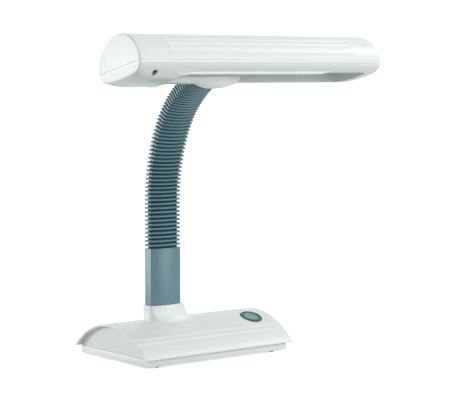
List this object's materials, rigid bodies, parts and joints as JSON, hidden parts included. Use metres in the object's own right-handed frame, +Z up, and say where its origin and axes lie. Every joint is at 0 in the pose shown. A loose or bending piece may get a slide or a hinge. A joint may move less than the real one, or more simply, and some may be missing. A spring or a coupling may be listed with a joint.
{
  "type": "desk lamp",
  "caption": "Desk lamp with a long fluted fluorescent head on a flat ribbed gooseneck that rises from a low arched, weighted base with a push switch.",
  "frame": {"origin": "middle of the bounding box at the table", "axes": "+X along the base and the head, -Y towards the user, +Z up"},
  "size_m": [0.3446, 0.189, 0.3679],
  "materials": {
    "white_plastic": "smooth satin",
    "blue_plastic": "satin blue-grey",
    "teal_plastic": "gloss",
    "black_plastic": "matt",
    "foot_rubber": "matt",
    "steel": "zinc-plated",
    "dark_steel": "blackened",
    "copper_wire": "enamelled copper",
    "lamp_glass": "opal, phosphor-coated"
  },
  "bodies": {
    "base": {"base_tray": "white_plastic", "base_shell": "white_plastic", "cord_inlet_bush": "black_plastic", "foot_1": "foot_rubber", "foot_2": "foot_rubber", "foot_3": "foot_rubber", "foot_4": "foot_rubber", "tray_screw_1": "dark_steel", "tray_screw_2": "dark_steel", "tray_screw_3": "dark_steel", "tray_screw_4": "dark_steel", "switch_bezel": "teal_plastic", "switch_body": "black_plastic", "ballast_weight_left": "dark_steel", "ballast_weight_right": "dark_steel", "terminal_block": "white_plastic", "choke_core": "dark_steel", "choke_coil": "copper_wire", "bracket_screw_1": "steel", "bracket_screw_2": "steel", "neck_bracket": "dark_steel", "neck_post": "steel", "neck_sleeve": "blue_plastic", "sleeve_guide": "black_plastic"},
    "neck_1": {"neck_section_1": "blue_plastic", "gooseneck_core_1": "steel"},
    "neck_2": {"neck_section_2": "blue_plastic", "gooseneck_core_2": "steel"},
    "neck_3": {"neck_section_3": "blue_plastic", "gooseneck_core_3": "steel"},
    "neck_4": {"neck_section_4": "blue_plastic", "gooseneck_core_4": "steel"},
    "neck_5": {"neck_section_5": "blue_plastic", "gooseneck_core_5": "steel"},
    "neck_6": {"neck_section_6": "blue_plastic", "gooseneck_core_6": "steel"},
    "neck_7": {"neck_section_7": "blue_plastic", "gooseneck_core_7": "steel"},
    "head": {"neck_section_8": "blue_plastic", "gooseneck_core_8": "steel", "head_cover": "white_plastic", "head_housing": "white_plastic", "head_screw": "dark_steel", "clamp_screw_1": "steel", "clamp_screw_2": "steel", "socket_screw": "dark_steel", "lamp_tube": "lamp_glass", "lamp_cap": "white_plastic", "lamp_holder": "black_plastic", "reflector": "white_plastic", "lamp_clip": "white_plastic"},
    "button": {"switch_button": "teal_plastic"}
  },
  "joints": [
    {"name": "bend_1", "type": "hinge", "parent": "base", "child": "neck_1", "pos_m": [-0.05925, 0.02405, 0.1245], "axis": [1, 0, 0], "range_deg": [-7, 7]},
    {"name": "bend_2", "type": "hinge", "parent": "neck_1", "child": "neck_2", "pos_m": [-0.05925, 0.02405, 0.1533], "axis": [1, 0, 0], "range_deg": [-7, 7]},
    {"name": "bend_3", "type": "hinge", "parent": "neck_2", "child": "neck_3", "pos_m": [-0.05925, 0.02403, 0.1821], "axis": [1, 0, 0], "range_deg": [-7, 7]},
    {"name": "bend_4", "type": "hinge", "parent": "neck_3", "child": "neck_4", "pos_m": [-0.05925, 0.02144, 0.21075], "axis": [1, 0, 0], "range_deg": [-7, 7]},
    {"name": "bend_5", "type": "hinge", "parent": "neck_4", "child": "neck_5", "pos_m": [-0.05925, 0.0145, 0.23868], "axis": [1, 0, 0], "range_deg": [-7, 7]},
    {"name": "bend_6", "type": "hinge", "parent": "neck_5", "child": "neck_6", "pos_m": [-0.05925, 0.00338, 0.26521], "axis": [1, 0, 0], "range_deg": [-7, 7]},
    {"name": "bend_7", "type": "hinge", "parent": "neck_6", "child": "neck_7", "pos_m": [-0.05925, -0.01258, 0.28911], "axis": [1, 0, 0], "range_deg": [-7, 7]},
    {"name": "bend_8", "type": "hinge", "parent": "neck_7", "child": "head", "pos_m": [-0.05925, -0.03367, 0.30862], "axis": [1, 0, 0], "range_deg": [-7, 7]},
    {"name": "button_press", "type": "slide", "parent": "base", "child": "button", "axis": [0, 0.2985, -0.9544], "range_m": [0, 0.003], "stiffness_N_per_m": 300, "springref_m": -0.001}
  ],
  "couplings": [
    {"joint": "bend_2", "follows": "bend_1", "ratio": 1},
    {"joint": "bend_3", "follows": "bend_1", "ratio": 1},
    {"joint": "bend_5", "follows": "bend_4", "ratio": 1},
    {"joint": "bend_6", "follows": "bend_4", "ratio": 1},
    {"joint": "bend_8", "follows": "bend_7", "ratio": 1}
  ]
}
